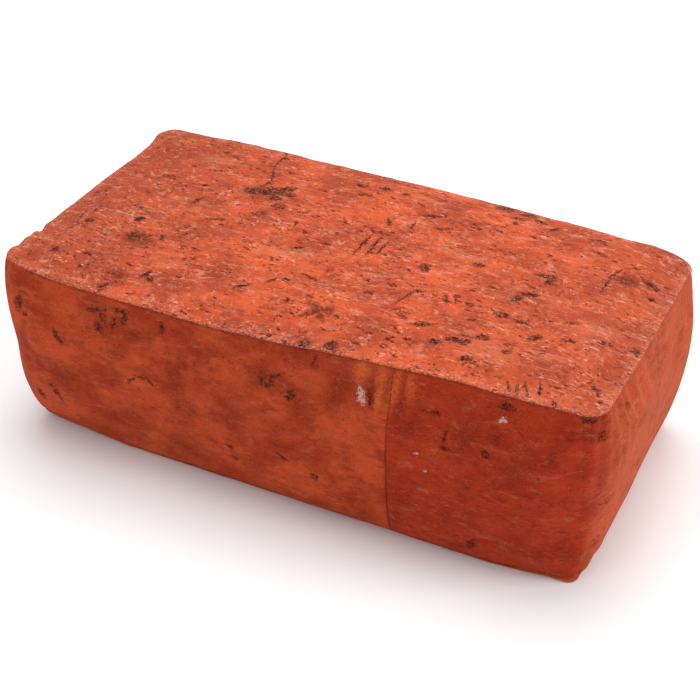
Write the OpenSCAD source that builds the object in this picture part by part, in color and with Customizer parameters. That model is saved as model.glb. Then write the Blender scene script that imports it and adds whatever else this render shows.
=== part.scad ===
// Brick-shaped boxed cushion: a foam block in wadding, inside a zipped cover of
// printed plush. The cover is a top panel, a bottom panel and a side band that is
// sewn up from two long lengths and, along the back, two strips with a coil zip
// between them. The origin is the middle of the underside, +X runs along the
// length and +Y points to the back, where the zip is.

/* [Cushion] */
// Length of the top panel between its end seams
panel_l = 388; // [340:1:480]
// Width of the top panel between its long seams
panel_w = 192; // [150:1:240]
// Height of the whole cushion
height = 125; // [100:1:160]
// Plan radius of the panel corners
corner_r = 14; // [10:1:20]
// How far the side band swells out from a straight line between its seams
side_bulge = 10; // [6:1:14]
// How far the bottom seam is pulled in from the top seam
bottom_tuck = 8; // [4:1:12]

/* [Cover] */
// Thickness of the plush fabric
fabric_t = 1.5; // [1:0.1:2.5]
// Distance of the front band join from the middle, towards +X
front_join_x = 73; // [-100:1:120]
// Diameter of the sewing thread
thread_d = 0.8; // [0.4:0.1:1.2]

/* [Filling] */
// Thickness of the wadding between the foam and the front or back seam
side_wadding_t = 16; // [12:1:24]
// Thickness of the wadding over and under the foam
flat_wadding_t = 12; // [6:1:18]

/* [Zip] */
// Distance from each end of the zip to the start of the cushion's corner curve
zip_end_margin = 30; // [8:1:60]
// Height of the slot between the two fabric strips
zip_gap = 11; // [10:0.5:14]
// Width of one zip tape
tape_w = 13; // [10:0.5:16]
// Thickness of the zip tape
tape_t = 0.6; // [0.4:0.1:1]
// Width of one coil row
coil_w = 2.4; // [2:0.1:3]
// Thickness of the coil rows
coil_t = 1.8; // [1.4:0.1:2.4]
// Gap between the two coil rows, which the slider's post runs in
mesh_gap = 1.2; // [1:0.1:1.6]
// Distance from one coil tooth to the next
tooth_pitch = 2.5; // [2:0.5:4]
// How far the teeth reach out from the spine of a coil row
tooth_l = 1.4; // [1:0.1:1.6]
// Length of a zip end stop
stop_l = 3; // [2:0.5:5]
// Distance of the zip stitching from the edge of its fabric strip
stitch_inset = 2.5; // [1.5:0.5:4]

/* [Slider] */
// Length of the slider
slider_l = 12; // [10:0.5:15]
// Width of the slider
slider_w = 8.6; // [8:0.2:9.4]
// Thickness of the slider's two plates
plate_t = 1.1; // [0.8:0.1:1.4]
// Width of the side flanges under the slider's outer plate
flange_w = 0.9; // [0.6:0.1:1]
// Thickness of the post that joins the two plates
post_w = 0.7; // [0.5:0.1:0.8]
// Length of the slider's post
post_l = 3; // [2:0.5:4]
// Length of the bridge that holds the pull
bridge_l = 9; // [8:0.5:10]
// Width of the bridge
bridge_w = 2.2; // [1.6:0.2:2.6]
// Thickness of the bridge
bridge_t = 1; // [0.8:0.1:1.4]

/* [Pull] */
// Length of the pull, from the middle of its cross bar
pull_l = 29; // [20:1:36]
// Width of the pull
pull_w = 6.6; // [6:0.2:7.4]
// Thickness of the pull
pull_t = 1.2; // [1:0.1:1.4]
// Width of each arm beside the bridge
pull_arm_w = 1.4; // [1:0.1:1.6]
// Diameter of the hole near the free end of the pull
pull_hole_d = 2.6; // [2:0.2:3.2]

/* [Fits] */
// Clearance around the slider's moving faces
slide_clear = 0.3; // [0.2:0.05:0.4]
// Clearance between the pull and the bridge
pull_clear = 0.35; // [0.2:0.05:0.4]
// Free space left in the wadding behind the slider
pocket_clear = 0.6; // [0.4:0.1:1]
// Distance that lines of thread and end stops keep from the cloth and from each other
thread_clear = 0.05; // [0.02:0.01:0.2]

/* [Hidden] */
$fn = 96;

// Plan of the seams
half_l = panel_l / 2;
half_w = panel_w / 2;
run_x = half_l - corner_r;
run_y = half_w - corner_r;

// Side section, drawn with x as the distance outwards from the top seam and y as
// the height: an arc through both seams
chord = sqrt(height * height + bottom_tuck * bottom_tuck);
arc_r = (chord * chord / 4 + side_bulge * side_bulge) / (2 * side_bulge);
arc_x = -bottom_tuck / 2 - (arc_r - side_bulge) * height / chord;
arc_z = height / 2 + (arc_r - side_bulge) * bottom_tuck / chord;
band_lo = fabric_t;
band_hi = height - fabric_t;
far = 4 * height;

// Filling
core_half_w = half_w - side_wadding_t;
core_lo = fabric_t + flat_wadding_t;
core_hi = height - fabric_t - flat_wadding_t;

// Zip, in a frame of its own that leans with the band: zip_y and zip_z are on the
// outer face of its tapes, and zip_tilt turns +Y to point straight out of the band
zip_z = height / 2;
half_zip = run_x - zip_end_margin;
zip_tilt = asin((zip_z - arc_z) / (arc_r - fabric_t));
zip_y = half_w + arc_x + (arc_r - fabric_t) * cos(zip_tilt);
coil_end_x = half_zip - thread_d - stop_l;
coil_in = mesh_gap / 2;
coil_out = coil_in + coil_w;
tooth_w = tooth_pitch / 2;
tooth_count = floor(2 * coil_end_x / tooth_pitch) - 1;
plate_lo = coil_t + slide_clear;
plate_hi = plate_lo + plate_t;
back_plate_hi = -tape_t - slide_clear;
back_plate_lo = back_plate_hi - plate_t;
pull_axis_y = plate_hi + pull_t / 2 + pull_clear;
bridge_lo = pull_axis_y + pull_t / 2 + pull_clear;
slider_rest_x = coil_end_x - slider_l / 2 - slide_clear;
pocket_depth = fabric_t + tape_t + slide_clear + plate_t + pocket_clear;
pocket_half_h = slider_w / 2 + pocket_clear;

// ---- helpers ----

// Everything inside the arc, drawn in from the outer face by depth
module arc_disc(depth) {
    translate([arc_x, arc_z]) circle(r = arc_r - depth, $fn = 360);
}

// Strip of the side section between two depths and two heights
module side_strip(depth_out, depth_in, z_lo, z_hi) {
    intersection() {
        difference() {
            arc_disc(depth_out);
            arc_disc(depth_in);
        }
        translate([-corner_r, z_lo]) square([far, z_hi - z_lo]);
    }
}

// Solid side section from x_in out to the arc at the given depth
module side_fill(x_in, depth, z_lo, z_hi) {
    intersection() {
        arc_disc(depth);
        translate([x_in, z_lo]) square([far, z_hi - z_lo]);
    }
}

// Run a side section along the front, from x_a to x_b
module front_run(x_a, x_b) {
    translate([x_a, -half_w, 0]) rotate([90, 0, 90])
        linear_extrude(x_b - x_a) mirror([1, 0, 0]) children();
}

// Run a side section along the back, from x_a to x_b
module rear_run(x_a, x_b) {
    translate([x_a, half_w, 0]) rotate([90, 0, 90])
        linear_extrude(x_b - x_a) children();
}

// Run a side section along one end; side is -1 for the left end and 1 for the right
module end_run(side) {
    translate([side * half_l, run_y, 0]) rotate([90, 0, 0])
        linear_extrude(2 * run_y) scale([side, 1]) children();
}

// Turn a side section through a corner; side is -1 or 1 in X, back is -1 or 1 in Y
module corner_turn(side, back) {
    start = side > 0 ? (back > 0 ? 0 : 270) : (back > 0 ? 90 : 180);
    translate([side * run_x, back * run_y, 0]) rotate([0, 0, start])
        rotate_extrude(angle = 90) translate([corner_r, 0]) children();
}

// Round a section right round one end, with both corners
module end_wrap(side) {
    end_run(side) children();
    corner_turn(side, -1) children();
    corner_turn(side, 1) children();
}

// Plan of a panel, drawn in from the top seam by tuck
module panel_plan(tuck) {
    corner = corner_r - tuck;
    union() {
        square([2 * run_x, panel_w - 2 * tuck], center = true);
        square([panel_l - 2 * tuck, 2 * run_y], center = true);
        for (sx = [-1, 1], sy = [-1, 1])
            translate([sx * run_x, sy * run_y]) circle(r = corner);
    }
}

// Closed ring of thread that lies against a panel's edge
module seam_ring(tuck, z_mid) {
    module bead() { translate([thread_d / 2 - tuck, z_mid]) circle(d = thread_d, $fn = 24); }
    front_run(-run_x, run_x) bead();
    rear_run(-run_x, run_x) bead();
    for (side = [-1, 1]) end_wrap(side) bead();
}

// Upright line of thread on the face of the band, back is -1 for the front
module join_line(x_pos, back, z_lo, z_hi) {
    a_lo = asin((z_lo - arc_z) / arc_r);
    a_hi = asin((z_hi - arc_z) / arc_r);
    translate([x_pos, back * (half_w + arc_x), arc_z]) rotate([90, 0, 90])
        scale([back, 1, 1]) rotate([0, 0, a_lo])
            rotate_extrude(angle = a_hi - a_lo)
                translate([arc_r + thread_d / 2 + thread_clear, 0])
                    circle(d = thread_d, $fn = 24);
}

// Level line of thread on the back of the band
module level_line(z_pos) {
    reach = arc_r + thread_d / 2 + thread_clear;
    y_pos = half_w + arc_x + sqrt(reach * reach - pow(z_pos - arc_z, 2));
    translate([-half_zip + thread_d, y_pos, z_pos]) rotate([0, 90, 0])
        cylinder(d = thread_d, h = 2 * (half_zip - thread_d), $fn = 24);
}

// Place things that are drawn in the zip's own frame
module on_zip(x_pos) {
    translate([x_pos, zip_y, zip_z]) rotate([zip_tilt, 0, 0]) children();
}

// One zip tape, up is 1 above the teeth and -1 below
module zip_tape(up) {
    z_near = zip_z + up * coil_in;
    z_far = zip_z + up * (coil_in + tape_w);
    rear_run(-half_zip, half_zip)
        side_strip(fabric_t, fabric_t + tape_t, min(z_near, z_far), max(z_near, z_far));
}

// One coil row: a spine with a tooth at every pitch
module coil_row(up) {
    first_x = -coil_end_x + tooth_w / 2 + (up > 0 ? 0 : tooth_w);
    on_zip(0) scale([1, 1, up]) {
        translate([-coil_end_x, 0, coil_in + tooth_l])
            cube([2 * coil_end_x, coil_t, coil_w - tooth_l]);
        for (i = [0 : tooth_count - 1])
            translate([first_x + i * tooth_pitch, 0, coil_in])
                cube([tooth_w, coil_t, tooth_l]);
    }
}

// Stop block at one end of the zip, side is -1 or 1 in X
module stop_block(side) {
    on_zip(side * (coil_end_x + stop_l / 2)) translate([0, coil_t / 2, 0])
        cube([stop_l, coil_t, 2 * coil_out], center = true);
}

// Outline of a slider plate, from the tail to the round nose
module slider_plan() {
    nose_x = slider_l / 2 - slider_w / 2;
    translate([nose_x, 0]) circle(d = slider_w);
    translate([-slider_l / 2, -slider_w / 2]) square([slider_l / 2 + nose_x, slider_w]);
}

// Lay a plan drawn in X and Z flat on the zip, from y_lo to y_hi outwards
module zip_layer(y_lo, y_hi) {
    translate([0, y_hi, 0]) rotate([90, 0, 0]) linear_extrude(y_hi - y_lo) children();
}

// ---- filling ----

module foam_core() {
    color("khaki") translate([-run_x, -core_half_w, core_lo])
        cube([2 * run_x, 2 * core_half_w, core_hi - core_lo]);
}

module wadding_wrap() {
    color("ivory") difference() {
        union() {
            for (low = [band_lo, core_hi])
                translate([-run_x, -core_half_w, low])
                    cube([2 * run_x, 2 * core_half_w, flat_wadding_t]);
            front_run(-run_x, run_x) side_fill(-side_wadding_t, fabric_t, band_lo, band_hi);
            rear_run(-run_x, run_x) side_fill(-side_wadding_t, fabric_t, band_lo, band_hi);
        }
        rear_run(-half_zip, half_zip) side_strip(0, fabric_t + tape_t,
            zip_z - coil_in - tape_w, zip_z + coil_in + tape_w);
        rear_run(-half_zip, half_zip) side_strip(0, pocket_depth,
            zip_z - pocket_half_h, zip_z + pocket_half_h);
    }
}

module wadding_end(side) {
    color("ivory") end_wrap(side) side_fill(-corner_r, fabric_t, band_lo, band_hi);
}

module wadding_end_left() { wadding_end(-1); }
module wadding_end_right() { wadding_end(1); }

// ---- cover ----

module top_panel() {
    color([0.78, 0.36, 0.24]) translate([0, 0, height - fabric_t])
        linear_extrude(fabric_t) panel_plan(0);
}

module bottom_panel() {
    color([0.62, 0.24, 0.14]) linear_extrude(fabric_t) panel_plan(bottom_tuck);
}

module band_section() {
    side_strip(0, fabric_t, band_lo, band_hi);
}

module band_left() {
    color([0.66, 0.26, 0.15]) {
        front_run(-run_x, front_join_x) band_section();
        rear_run(-run_x, -half_zip) band_section();
        end_wrap(-1) band_section();
    }
}

module band_right() {
    color([0.6, 0.2, 0.12]) {
        front_run(front_join_x, run_x) band_section();
        rear_run(half_zip, run_x) band_section();
        end_wrap(1) band_section();
    }
}

module zip_strip_upper() {
    color([0.66, 0.26, 0.15]) rear_run(-half_zip, half_zip)
        side_strip(0, fabric_t, zip_z + zip_gap / 2, band_hi);
}

module zip_strip_lower() {
    color([0.66, 0.26, 0.15]) rear_run(-half_zip, half_zip)
        side_strip(0, fabric_t, band_lo, zip_z - zip_gap / 2);
}

// ---- zip ----

module zip_tape_upper() { color([0.42, 0.13, 0.08]) zip_tape(1); }
module zip_tape_lower() { color([0.42, 0.13, 0.08]) zip_tape(-1); }
module zip_coil_upper() { color([0.38, 0.11, 0.07]) coil_row(1); }
module zip_coil_lower() { color([0.38, 0.11, 0.07]) coil_row(-1); }
module zip_stop_closed() { color("silver") stop_block(1); }
module zip_stop_open() { color("silver") stop_block(-1); }

module zip_slider() {
    color("silver") on_zip(slider_rest_x) {
        zip_layer(plate_lo, plate_hi) slider_plan();
        zip_layer(back_plate_lo, back_plate_hi) slider_plan();
        // side flanges that reach down beside the coils
        for (up = [-1, 1])
            translate([-slider_l / 4, (plate_lo + slide_clear) / 2,
                       up * (slider_w - flange_w) / 2])
                cube([slider_l / 2, plate_lo - slide_clear, flange_w], center = true);
        // post between the two plates
        translate([slider_l / 2 - post_l - plate_t, back_plate_hi, -post_w / 2])
            cube([post_l, plate_lo - back_plate_hi, post_w]);
        // bridge over the pull's cross bar
        for (side = [-1, 1])
            translate([side * (bridge_l - bridge_t) / 2, (plate_hi + bridge_lo) / 2, 0])
                cube([bridge_t, bridge_lo - plate_hi, bridge_w], center = true);
        translate([0, bridge_lo + bridge_t / 2, 0])
            cube([bridge_l, bridge_t, bridge_w], center = true);
    }
}

module zip_pull() {
    window_x = sqrt(pow(bridge_l / 2, 2) + pow(bridge_lo + bridge_t - pull_axis_y, 2))
        + pull_clear;
    arm_x = -window_x;
    color("silver") on_zip(slider_rest_x) translate([0, pull_axis_y, 0]) {
        // cross bar under the bridge
        translate([0, 0, -pull_w / 2]) cylinder(d = pull_t, h = pull_w, $fn = 32);
        // arms beside the bridge
        for (up = [-1, 1])
            translate([arm_x / 2, 0, up * (pull_w - pull_arm_w) / 2])
                cube([window_x, pull_t, pull_arm_w], center = true);
        // tab with a round end and a hole
        zip_layer(-pull_t / 2, pull_t / 2) difference() {
            union() {
                translate([-pull_l + pull_w / 2, -pull_w / 2])
                    square([pull_l - pull_w / 2 - window_x, pull_w]);
                translate([-pull_l + pull_w / 2, 0]) circle(d = pull_w);
            }
            translate([-pull_l + pull_w / 2, 0]) circle(d = pull_hole_d, $fn = 32);
        }
    }
}

// ---- thread ----

module top_seam_thread() {
    color([0.8, 0.5, 0.38]) seam_ring(0, height - fabric_t + thread_d / 2);
}

module bottom_seam_thread() {
    color([0.6, 0.25, 0.15]) seam_ring(bottom_tuck, fabric_t - thread_d / 2);
}

module front_join_thread() {
    color([0.45, 0.14, 0.08]) join_line(front_join_x, -1, band_lo, band_hi);
}

module rear_join_thread_left() {
    color([0.45, 0.14, 0.08]) join_line(-half_zip, 1, band_lo, band_hi);
}

module rear_join_thread_right() {
    color([0.45, 0.14, 0.08]) join_line(half_zip, 1, band_lo, band_hi);
}

module zip_thread_upper() {
    color([0.45, 0.14, 0.08]) level_line(zip_z + zip_gap / 2 + stitch_inset);
}

module zip_thread_lower() {
    color([0.45, 0.14, 0.08]) level_line(zip_z - zip_gap / 2 - stitch_inset);
}

foam_core();
wadding_wrap();
wadding_end_left();
wadding_end_right();
top_panel();
bottom_panel();
band_left();
band_right();
zip_strip_upper();
zip_strip_lower();
zip_tape_upper();
zip_tape_lower();
zip_coil_upper();
zip_coil_lower();
zip_stop_closed();
zip_stop_open();
zip_slider();
zip_pull();
top_seam_thread();
bottom_seam_thread();
front_join_thread();
rear_join_thread_left();
rear_join_thread_right();
zip_thread_upper();
zip_thread_lower();
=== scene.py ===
import math

import bmesh
import bpy
import numpy as np
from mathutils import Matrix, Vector
from mathutils.kdtree import KDTree


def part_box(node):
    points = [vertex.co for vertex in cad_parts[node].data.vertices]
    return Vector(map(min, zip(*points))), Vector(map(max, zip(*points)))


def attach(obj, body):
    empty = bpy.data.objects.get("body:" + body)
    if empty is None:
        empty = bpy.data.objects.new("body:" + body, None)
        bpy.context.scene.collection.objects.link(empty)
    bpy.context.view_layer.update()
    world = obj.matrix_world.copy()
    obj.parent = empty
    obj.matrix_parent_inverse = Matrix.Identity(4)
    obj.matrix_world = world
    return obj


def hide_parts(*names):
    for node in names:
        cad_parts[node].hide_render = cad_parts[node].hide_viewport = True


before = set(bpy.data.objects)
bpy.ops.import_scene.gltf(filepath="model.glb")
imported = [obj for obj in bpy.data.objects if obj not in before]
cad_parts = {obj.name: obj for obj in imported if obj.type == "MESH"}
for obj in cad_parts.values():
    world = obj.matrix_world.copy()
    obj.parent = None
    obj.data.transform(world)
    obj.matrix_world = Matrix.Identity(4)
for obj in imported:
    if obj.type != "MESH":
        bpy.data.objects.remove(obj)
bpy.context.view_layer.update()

# ---- sizes in metres, all taken from the CAD pieces ----

MM = 0.001
panel_lo, panel_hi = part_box("top_panel")
under_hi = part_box("bottom_panel")[1]
core_lo, core_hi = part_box("foam_core")
strip_lo, strip_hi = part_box("zip_strip_upper")
lower_strip_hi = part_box("zip_strip_lower")[1]
join_lo, join_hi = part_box("front_join_thread")

HALF_L = panel_hi.x
HALF_W = panel_hi.y
HEIGHT = panel_hi.z
FABRIC = panel_hi.z - panel_lo.z
RUN_X = core_hi.x
CORNER_R = HALF_L - RUN_X
RUN_Y = HALF_W - CORNER_R
TUCK = HALF_L - under_hi.x
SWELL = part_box("band_right")[1].x - HALF_L
BULGE = (TUCK + 2 * SWELL + math.sqrt((TUCK + 2 * SWELL) ** 2 - TUCK ** 2)) / 4
HALF_ZIP = strip_hi.x
JOIN_X = (join_lo.x + join_hi.x) / 2
SLOT_LO = lower_strip_hi.z
SLOT_HI = strip_lo.z
ZIP_Z = (SLOT_LO + SLOT_HI) / 2
THREAD_D = join_hi.x - join_lo.x

# ---- noise and ramps on arrays ----

LATTICE_SIZE = 64
LATTICE = np.random.default_rng(11).uniform(-1, 1, (LATTICE_SIZE,) * 3)


def soft_noise(points, size, seed=0):
    """Smooth noise from -1 to 1 at points of shape (..., 3), with bumps about size across."""
    place = points / size + seed * 7.31
    cell = np.floor(place).astype(int)
    part = place - cell
    part = part * part * (3 - 2 * part)
    total = np.zeros(points.shape[:-1])
    for corner in np.ndindex(2, 2, 2):
        weight = np.where(corner, part, 1 - part).prod(axis=-1)
        index = (cell + corner) % LATTICE_SIZE
        total += weight * LATTICE[index[..., 0], index[..., 1], index[..., 2]]
    return total


def joined(*parts):
    """Arrays of x, y and z as one array of points."""
    return np.stack(parts, axis=-1)


def unit(arrows):
    """Rows of an array at length 1."""
    return arrows / np.linalg.norm(arrows, axis=1)[:, None]


def ramp(value, start, end):
    """0 before start and 1 after end, with a smooth rise between."""
    share = np.clip((value - start) / (end - start), 0, 1)
    return share * share * (3 - 2 * share)


# ---- how the stuffed cushion settles ----

# How the front edge of the top sags or stands, in mm, from the left end to the right
FRONT_EDGE_X = np.array([-194, -170, -145, -115, -55, -20, 20, 50, 115, 175, 194]) * MM
FRONT_EDGE_LIFT = np.array([7.5, 5.0, 0.5, -2.0, -3.5, -4.5, -3.0, -1.0, 2.4, 1.5, 1.5]) * MM
# The same for the back edge
BACK_EDGE_X = np.array([-194, -160, -120, -55, 20, 60, 110, 165, 194]) * MM
BACK_EDGE_LIFT = np.array([1.5, 2.0, 5.0, 6.5, 6.5, 4.5, 4.0, 1.0, -4.0]) * MM
CROWN = 1.8 * MM
BACK_LEFT_LIFT = 6.8 * MM
FRONT_LEFT_SAG = 3.5 * MM
FRONT_LEFT_LEAN = 8.5 * MM


def near_zip(points):
    """1 on the zip and the cloth beside it, which keep to the CAD's shape, and 0 well away."""
    x, y, z = np.moveaxis(points, -1, 0)
    beside = 1 - ramp(np.abs(x), HALF_ZIP + 4 * MM, HALF_ZIP + 16 * MM)
    level = 1 - ramp(np.abs(z - ZIP_Z), 20 * MM, 38 * MM)
    return beside * level * ramp(y, 0.8 * HALF_W, 0.9 * HALF_W)


def slump(points):
    """Moves points of the true boxed shape to where the used, unevenly filled cushion has them."""
    x, y, z = np.moveaxis(points, -1, 0)
    along = x / HALF_L
    deep = y / HALF_W
    up = np.clip(z / HEIGHT, 0, 1)
    left = ((1 - along) / 2) ** 2
    front = np.clip((1 - deep) / 2, 0, 1)
    back = ramp(deep, 0.3, 1.0)
    rise = up * (1 - back) + ramp(up, 0.62, 1.0) * back
    lift = left * rise * (BACK_LEFT_LIFT - (BACK_LEFT_LIFT + FRONT_LEFT_SAG) * front)
    lift = lift + up * front ** 2 * np.interp(x, FRONT_EDGE_X, FRONT_EDGE_LIFT)
    lift = lift + rise * (1 - front) ** 2 * np.interp(x, BACK_EDGE_X, BACK_EDGE_LIFT)
    crown = CROWN * np.clip(1 - along ** 2, 0, 1) * np.clip(1 - deep ** 2, 0, 1)
    lift = lift + ramp(up, 0.5, 1.0) * crown
    lean = -FRONT_LEFT_LEAN * np.clip(-deep, 0, 1) * left * up
    loose = (1 - near_zip(points)) * ramp(z, 0, 12 * MM)
    waves = joined(*(
        soft_noise(points, 62 * MM, seed) * 1.3 * MM + soft_noise(points, 24 * MM, seed + 3) * 0.5 * MM
        for seed in (1, 2, 3)))
    moved = points + waves * loose[..., None]
    moved[..., 1] += lean
    moved[..., 2] += lift
    return moved


# ---- plan of the seams and grid lines of the cloth ----

# Distances of the grid lines from a seam, where the cloth turns into it
RIM_STEPS = np.array([0, 0.5, 1.0, 1.6, 2.3, 3.2, 4.4, 6.0, 8.0, 11.0]) * MM
KNOT_STEPS = np.array([-3.0, -1.6, -0.7, 0, 0.7, 1.6, 3.0]) * MM
CLOTH_STEP = 1.9 * MM


def grid_lines(run, knots):
    """Grid lines across a panel: close together near both seams and at each knot."""
    stops = sorted([-run, run, *(knot + step for knot in knots for step in KNOT_STEPS)])
    lines = []
    for start, end in zip(stops, stops[1:]):
        count = max(1, round((end - start) / CLOTH_STEP))
        lines.extend(np.linspace(start, end, count, endpoint=False))
    rim = run + CORNER_R - RIM_STEPS[::-1]
    return np.concatenate([-rim[::-1], lines, [run], rim])


def round_corners(grid_x, grid_y):
    """Bends a square grid so that its edge follows the panel's round corners."""
    over_x = np.clip((np.abs(grid_x) - RUN_X) / CORNER_R, 0, 1)
    over_y = np.clip((np.abs(grid_y) - RUN_Y) / CORNER_R, 0, 1)
    x = np.minimum(np.abs(grid_x), RUN_X) + CORNER_R * over_x * np.sqrt(1 - over_y ** 2 / 2)
    y = np.minimum(np.abs(grid_y), RUN_Y) + CORNER_R * over_y * np.sqrt(1 - over_x ** 2 / 2)
    return np.sign(grid_x) * x, np.sign(grid_y) * y


def outward(x, y):
    """Outward direction in plan, and distance in from the seam, for points of a panel."""
    over_x = np.maximum(np.abs(x) - RUN_X, 0)
    over_y = np.maximum(np.abs(y) - RUN_Y, 0)
    over = np.hypot(over_x, over_y)
    inside = np.maximum(np.abs(x) - RUN_X, np.abs(y) - RUN_Y)
    distance = CORNER_R - np.where(over > 0, over, inside)
    size = np.maximum(over, 1e-9)
    return np.sign(x) * over_x / size, np.sign(y) * over_y / size, distance


def seam_length(x, y):
    """Distance along the seam from the middle of the front: over 0 to the right, under 0 to the left."""
    side = np.where(x < 0, -1, 1)
    ax = np.abs(x)
    turn = CORNER_R * math.pi / 2
    front_angle = np.arctan2(np.maximum(ax - RUN_X, 0), np.maximum(-y - RUN_Y, 1e-9))
    back_angle = np.arctan2(np.maximum(y - RUN_Y, 0), np.maximum(ax - RUN_X, 1e-9))
    length = np.minimum(ax, RUN_X) + CORNER_R * front_angle
    end_length = RUN_X + turn + np.clip(y, -RUN_Y, RUN_Y) + RUN_Y + CORNER_R * back_angle
    back_length = RUN_X + 2 * turn + 2 * RUN_Y + RUN_X - ax
    on_end = (ax > RUN_X) & (y > -RUN_Y)
    on_back = (ax <= RUN_X) & (y > 0)
    return side * np.where(on_back, back_length, np.where(on_end, end_length, length))


LINES_X = grid_lines(RUN_X, [-HALF_ZIP, JOIN_X, HALF_ZIP])
LINES_Y = grid_lines(RUN_Y, [])

# ---- seams, creases and folds ----

# Section of the panel's edge: flat distance from the seam, then where it lies, out and up
LIP_FLAT = np.array([0, 0.5, 1.0, 1.6, 2.3, 3.2, 4.4, 6.0, 8.0, 11.0, 14.0]) * MM
LIP_OUT = np.array([-0.9, -0.2, 0.35, 0.45, 0.0, -0.9, -2.3, -4.4, -7.0, -10.7, -14.0]) * MM
LIP_UP = np.array([-1.7, -1.6, -1.2, -0.6, -0.15, 0.1, 0.15, 0.0, -0.2, -0.1, 0]) * MM
# Folds of the top: both ends, half width and depth, in mm
TOP_FOLDS = [
    (-192, -54, -165, -69, 3.0, 1.8), (-189, -76, -150, -71, 3.5, 1.5), (-183, -84, -136, -86, 3.0, 1.4),
    (164, 34, 188, 6, 2.6, 1.4), (-170, 60, -150, 82, 4.0, 1.0), (-60, -88, -20, -84, 3.5, 0.7),
    (140, -84, 176, -70, 3.5, 0.8), (186, -60, 178, -20, 3.0, 0.9),
]
# Folds of the side band: both ends as distance along the seam and height, half width and depth, in mm
BAND_FOLDS = [
    (186, 121, 184, 76, 3.2, 1.5), (194, 121, 196, 62, 3.4, 2.0), (203, 121, 206, 70, 3.0, 1.7),
    (212, 121, 219, 58, 3.6, 2.0), (223, 121, 231, 74, 3.2, 1.6), (236, 121, 247, 66, 3.8, 1.5),
    (251, 121, 262, 84, 3.4, 1.1), (270, 121, 280, 80, 4.0, 1.0), (300, 121, 306, 86, 4.0, 0.9),
    (176, 121, 166, 88, 3.6, 1.0), (158, 121, 150, 92, 3.6, 0.7), (198, 6, 200, 44, 3.6, 1.2),
    (212, 6, 216, 36, 3.6, 1.0), (-190, 121, -186, 84, 3.6, 1.1), (-202, 121, -203, 70, 4.0, 1.1),
    (-215, 121, -220, 82, 3.8, 1.3), (-178, 121, -168, 98, 3.6, 1.1), (-230, 121, -240, 88, 4.2, 1.1),
    (-199, 6, -200, 40, 4.0, 1.2), (96, 8, 90, 30, 4.0, 0.7), (60, 8, 66, 34, 4.0, 0.6),
]


def fold_depth(u, v, folds):
    """How far folds sink the cloth at flat places u and v in metres: a valley between two shoulders."""
    total = np.zeros(u.shape)
    for u_a, v_a, u_b, v_b, half_width, depth in folds:
        start = np.array([u_a, v_a]) * MM
        run = np.array([u_b, v_b]) * MM - start
        share = ((u - start[0]) * run[0] + (v - start[1]) * run[1]) / (run @ run)
        away = ((u - start[0]) * run[1] - (v - start[1]) * run[0]) / math.hypot(*run) / (half_width * MM)
        fade = np.where(share < 0, np.exp(-(share / 0.12) ** 2), np.clip(1 - share, 0, 1) ** 0.8)
        total += depth * MM * fade * (np.exp(-away ** 2) - 0.55 * np.exp(-(np.abs(away) - 1.8) ** 2))
    return total


def gathers(seam_x, seam_y, height):
    """Small puckers along a seam, at points of it."""
    where = joined(seam_x, seam_y, np.full_like(seam_x, height))
    return soft_noise(where, 4.6 * MM, 5) * 0.6 + soft_noise(where, 11 * MM, 6) * 0.6


def panel_surface(grid_x, grid_y, top):
    """Points of the top or bottom panel, with the distance of each from the seam."""
    x, y = round_corners(grid_x, grid_y)
    out_x, out_y, distance = outward(x, y)
    pucker = gathers(x + out_x * distance, y + out_y * distance, HEIGHT if top else 0.0)
    rim = np.clip(1 - distance / (14 * MM), 0, 1)
    shift = np.interp(distance, LIP_FLAT, LIP_OUT + LIP_FLAT) + pucker * 0.5 * MM * rim ** 3
    rise = np.interp(distance, LIP_FLAT, LIP_UP) + pucker * rim ** 2 * 0.4 * MM * ramp(distance, 0, 2 * MM)
    if top:
        height = HEIGHT + rise - fold_depth(x, y, TOP_FOLDS)
    else:
        height = -rise + underside_lift(x, y, distance)
        shift = shift - seam_tuck(x, y) * (1 - ramp(distance, 0, 14 * MM))
    return joined(x + out_x * shift, y + out_y * shift, height), distance


def seam_tuck(seam_x, seam_y):
    """How far the bottom seam lies in from the top one: the CAD's size at the back, less along the front."""
    front = 0.55 + 0.3 * ramp(np.abs(seam_x), 0.6 * HALF_L, RUN_X)
    front = front + 0.25 * ramp(seam_x, 0.8 * HALF_L, RUN_X)
    back = ramp(seam_y / HALF_W, 0.0, 1.0)
    return TUCK * (front + (1 - front) * back)


def plain_stand(seam_x, seam_y, height):
    """How far the plain, full side band stands out from the top seam at a height."""
    share = np.clip(height / HEIGHT, 0, 1)
    back = ramp(seam_y / HALF_W, 0.0, 1.0)
    bulge = BULGE * (0.78 + 0.22 * back - 0.2 * ramp(seam_x, 0.8 * HALF_L, RUN_X))
    swell = bulge * (1 - np.abs(2 * share - 1) ** (2.6 - 0.6 * back))
    return swell - seam_tuck(seam_x, seam_y) * (1 - share)


def underside_lift(x, y, distance):
    """How far the rim of the underside stands off what the cushion rests on."""
    corner = ramp(-x / HALF_L, 0.55, 1.0) * ramp(-y / HALF_W, 0.2, 1.0)
    return (1.2 * MM + 6 * MM * corner) * np.exp(-np.maximum(distance, 0) / (9 * MM))


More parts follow.
